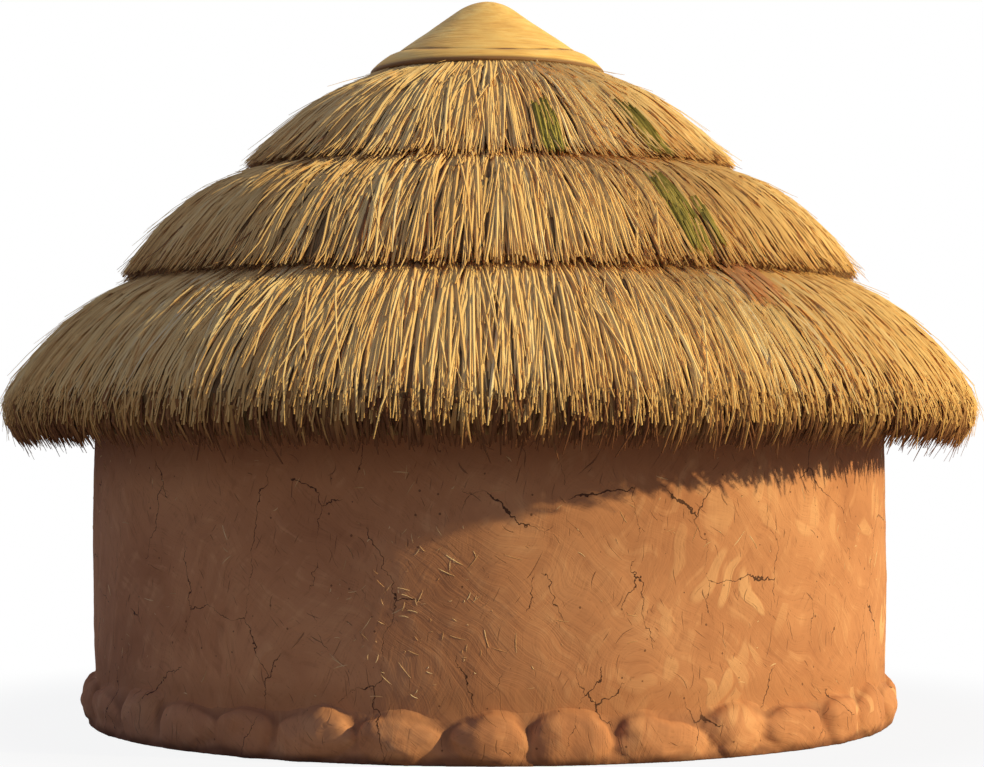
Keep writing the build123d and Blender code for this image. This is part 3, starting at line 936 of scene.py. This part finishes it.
cap = {
    "peak": 4.576, "peakRound": 0.185, "foldRadius": 0.566, "foldHeight": 4.246, "around": 260,
    "frontNarrow": 0.098,    # how much nearer the edge the fold is at the front
    # from the fold out and down over the rolled brim
    "brim": ((0.003, -0.009), (0.010, -0.009), (0.030, -0.013), (0.072, -0.031), (0.112, -0.058),
             (0.146, -0.086), (0.172, -0.112), (0.186, -0.130), (0.188, -0.142), (0.184, -0.150)),
    # and back under it: from the brim's edge, then as radius and height over that edge
    "edge": ((-0.006, -0.008), (-0.018, -0.009), (-0.06, 0.012)),
    "hollow": ((0.35, 0.258), (0.12, 0.40), (0, 0.42)),
    "underside": 4.104, "aside": -0.018, "peakRows": 12, "slopeRows": 20,
    "foldSlope": 0.694,      # how far the fold drops for each metre outwards
    "lumpSize": 0.5, "lumpDepth": 0.005, "smearSize": 0.12, "smearDepth": 0.0016, "grainDepth": 0.0006,
}


def capMaterial():
    material, tree, shader = newMaterial("smoothDaub", roughness=0.7, specular=0.3)
    x, y, height = split(objectPlace(tree))
    direction = vecCalc("NORMALIZE", combine(x, y))
    brush = noise(aroundAxis(direction, height, 3.0, 75.0), 1.0, 4.0, 0.55, 0.4)
    broad = noise(aroundAxis(direction, height, 1.6, 14.0), 1.0, 2.0)
    mixed = plus(times(brush, 0.55), times(broad, 0.45))
    colour = ramp(mixed, [(0.30, (0.70, 0.35, 0.066)), (0.42, (0.88, 0.48, 0.095)),
                          (0.54, (0.97, 0.58, 0.128)), (0.70, (0.99, 0.68, 0.20))])
    # Painted shade: a dark line along the brim's underside, and one in the crease above the brim that fades
    # in and out round the cap
    uneven = plus(height, times(minus(broad, 0.5), 0.012))
    under = remap(uneven, cap["underside"] + 0.008, cap["underside"] + 0.026, 1.0, 0.0)
    ahead = calc("MAXIMUM", vecCalc("DOT_PRODUCT", direction, (0.0, -1.0, 0.0)), 0.0)
    drop = times(ahead, ahead, cap["frontNarrow"] * cap["foldSlope"])
    folded = plus(minus(uneven, cap["foldHeight"] - 0.006), drop)
    crease = remap(calc("ABSOLUTE", folded), 0.004, 0.010, 1.0, 0.0)
    fades = remap(noise(vecCalc("SCALE", direction, 2.2), 1.0, 2.0), 0.40, 0.58, 0.15, 1.0)
    brimShade = calc("MAXIMUM", under, times(crease, fades))
    colour = mixColour(times(brimShade, 0.85), colour, (0.15, 0.055, 0.020))
    tree.links.new(colour, shader.inputs["Base Color"])
    addBump(tree, shader, brush, 0.7, 0.008)
    return material


def buildCap(relief, material):
    blunt, tipRows, slopeRows = cap["peakRound"], cap["peakRows"], cap["slopeRows"]
    slope = (cap["peak"] - cap["foldHeight"]) / (cap["foldRadius"] - blunt / 2)
    outside = []
    for k in range(tipRows + 1):
        outside.append((blunt * k / tipRows, cap["peak"] - blunt * slope / 2 * (k / tipRows) ** 2))
    high = outside[-1][1]
    edgeRadius, edgeHeight = cap["foldRadius"] + cap["brim"][-1][0], cap["foldHeight"] + cap["brim"][-1][1]
    inside = [(edgeRadius + out, edgeHeight + up) for out, up in cap["edge"]]
    inside += [(radius, edgeHeight + up) for radius, up in cap["hollow"]]
    rings = []
    for k in range(cap["around"] + 1):
        a = 2 * math.pi * k / cap["around"]
        narrow = cap["frontNarrow"] * max(0.0, -math.sin(a)) ** 2
        fold = cap["foldRadius"] + narrow
        foldHeight = high - (fold - blunt) * slope
        wide = (edgeRadius - fold) / (edgeRadius - cap["foldRadius"])
        deep = (foldHeight - edgeHeight) / (cap["foldHeight"] - edgeHeight)
        profile = outside + [(blunt + (fold - blunt) * n / slopeRows,
                              high - (fold - blunt) * n / slopeRows * slope)
                             for n in range(1, slopeRows + 1)]
        profile += [(fold + out * wide, foldHeight + up * deep) for out, up in cap["brim"]] + inside
        rings.append([(cap["aside"] + r * math.cos(a), r * math.sin(a), h) for r, h in profile])
    points, faces = loftRings(rings, closed=False)
    piece = meshObject("cap_shell", points, faces)
    outwards(piece)
    return runTree(piece, relief, {**labelled(cap), "Surface Material": material})


relief = reliefTree()
mud = mudMaterial("mudPlaster")
mudWall = buildWall(relief, mud)
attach(mudWall, "root")
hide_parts(*[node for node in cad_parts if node.startswith("wall_bay")], "wall_over_doorway")
strawBits = scatterStraws(mudWall)
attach(strawBits, "root")
print("wall built")
daub, stoneNodes = buildFooting(relief, mudMaterial("stoneDaub", joints=True))
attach(daub, "root")
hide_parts(*stoneNodes)
print("footing built")
capShell = buildCap(relief, capMaterial())
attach(capShell, "root")
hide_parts("ridge_cap")
tree = stemTree()
tinted = {name: stemsMaterial(name, tints) for name, tints in stemTints.items()}
bed = thatchBedMaterial()
for name in courses:
    for piece in layCourse(name, tree, tinted["dryStems"]):
        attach(piece, "root")
    dress(courses[name]["node"], bed)
    print("laid", name, "course")
for name in patches:
    piece = layPatch(name, tree, tinted)
    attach(piece, "root")
print("moss and russet stems laid")
for name, plan in timbers.items():
    timber = timberMaterial(name, plan)
    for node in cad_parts:
        if node.startswith(plan["nodes"]):
            dress(node, timber)
print("timber dressed")


camera = {"distance": 16.2, "eye": 1.79, "aside": 0.014, "pitch": 1.17, "lens": 92.4}


def addCamera():
    data = bpy.data.cameras.new("camera")
    data.lens = camera["lens"]
    data.sensor_width = 36
    data.clip_end = 200
    piece = addObject("camera", data)
    piece.location = (camera["aside"], -camera["distance"], camera["eye"])
    piece.rotation_euler = (math.radians(90 + camera["pitch"]), 0, 0)
    bpy.context.scene.camera = piece


light = {"keyAzimuth": 76, "keyHeight": 22, "keyStrength": 3.85, "keyColour": (1.0, 0.89, 0.62),
         "keySoftness": 1.4, "fill": 0.38, "fillColour": (0.40, 0.49, 1.0),
         "overheadPower": 125.0, "overheadSize": 12.0, "overheadHeight": 11.0,
         "overheadColour": (0.62, 0.72, 1.0)}


def addLight(name, kind, power, colour):
    data = bpy.data.lights.new(name, kind)
    data.energy = power
    data.color = colour
    return addObject(name, data)


def addLights():
    key = addLight("key", "SUN", light["keyStrength"], light["keyColour"])
    key.data.angle = math.radians(light["keySoftness"])
    a, e = math.radians(light["keyAzimuth"]), math.radians(light["keyHeight"])
    towards = Vector((math.sin(a) * math.cos(e), -math.cos(a) * math.cos(e), math.sin(e)))
    key.rotation_euler = towards.to_track_quat("Z", "Y").to_euler()
    overhead = addLight("overhead", "AREA", light["overheadPower"], light["overheadColour"])
    overhead.data.size = light["overheadSize"]
    overhead.location = (0, 0, light["overheadHeight"])
    world = bpy.data.worlds.new("studio")
    bpy.context.scene.world = world
    world.use_nodes = True
    nodes = world.node_tree
    nodes.nodes.clear()
    ray = addNode(nodes, "ShaderNodeLightPath")
    seen = calc("MAXIMUM", calc("MAXIMUM", ray.outputs["Is Camera Ray"],
                                ray.outputs["Is Glossy Ray"]), ray.outputs["Is Transmission Ray"])
    fill = addNode(nodes, "ShaderNodeBackground", {0: (*light["fillColour"], 1), 1: light["fill"]})
    white = addNode(nodes, "ShaderNodeBackground", {0: (1, 1, 1, 1), 1: 1.0})
    both = addNode(nodes, "ShaderNodeMixShader", {0: seen, 1: fill.outputs[0], 2: white.outputs[0]})
    addNode(nodes, "ShaderNodeOutputWorld", {0: both.outputs[0]})


floorLook = {"colour": 0.38, "reach": 60.0, "indoors": 2.42, "fadeFrom": 2.9, "fadeTo": 4.8, "near": 0.90}


def addFloor():
    size = floorLook["reach"]
    corners = [(-size, -size, 0), (size, -size, 0), (size, size, 0), (-size, size, 0)]
    floor = meshObject("floor", corners, [(0, 1, 2, 3)], smooth=False)
    material, tree, shader = newMaterial("paleFloor", roughness=0.9, specular=0.1)
    shader.inputs["Base Color"].default_value = (*[floorLook["colour"]] * 3, 1)
    away = vecCalc("LENGTH", objectPlace(tree))
    white = addNode(tree, "ShaderNodeEmission", {0: (1, 1, 1, 1), 1: 1.0})
    ray = addNode(tree, "ShaderNodeLightPath")
    fade = remap(away, floorLook["fadeFrom"], floorLook["fadeTo"], floorLook["near"], 1.0, smooth=True)
    outdoors = remap(away, floorLook["indoors"], floorLook["indoors"] + 0.06)
    factor = times(ray.outputs["Is Camera Ray"], times(fade, outdoors))
    both = addNode(tree, "ShaderNodeMixShader", {0: factor, 1: shader.outputs[0], 2: white.outputs[0]})
    tree.links.new(both.outputs[0], tree.nodes["Material Output"].inputs[0])
    floor.data.materials.append(material)


addCamera()
addLights()
addFloor()
bpy.context.scene.view_settings.view_transform = "Standard"
print("camera, lights and floor placed")
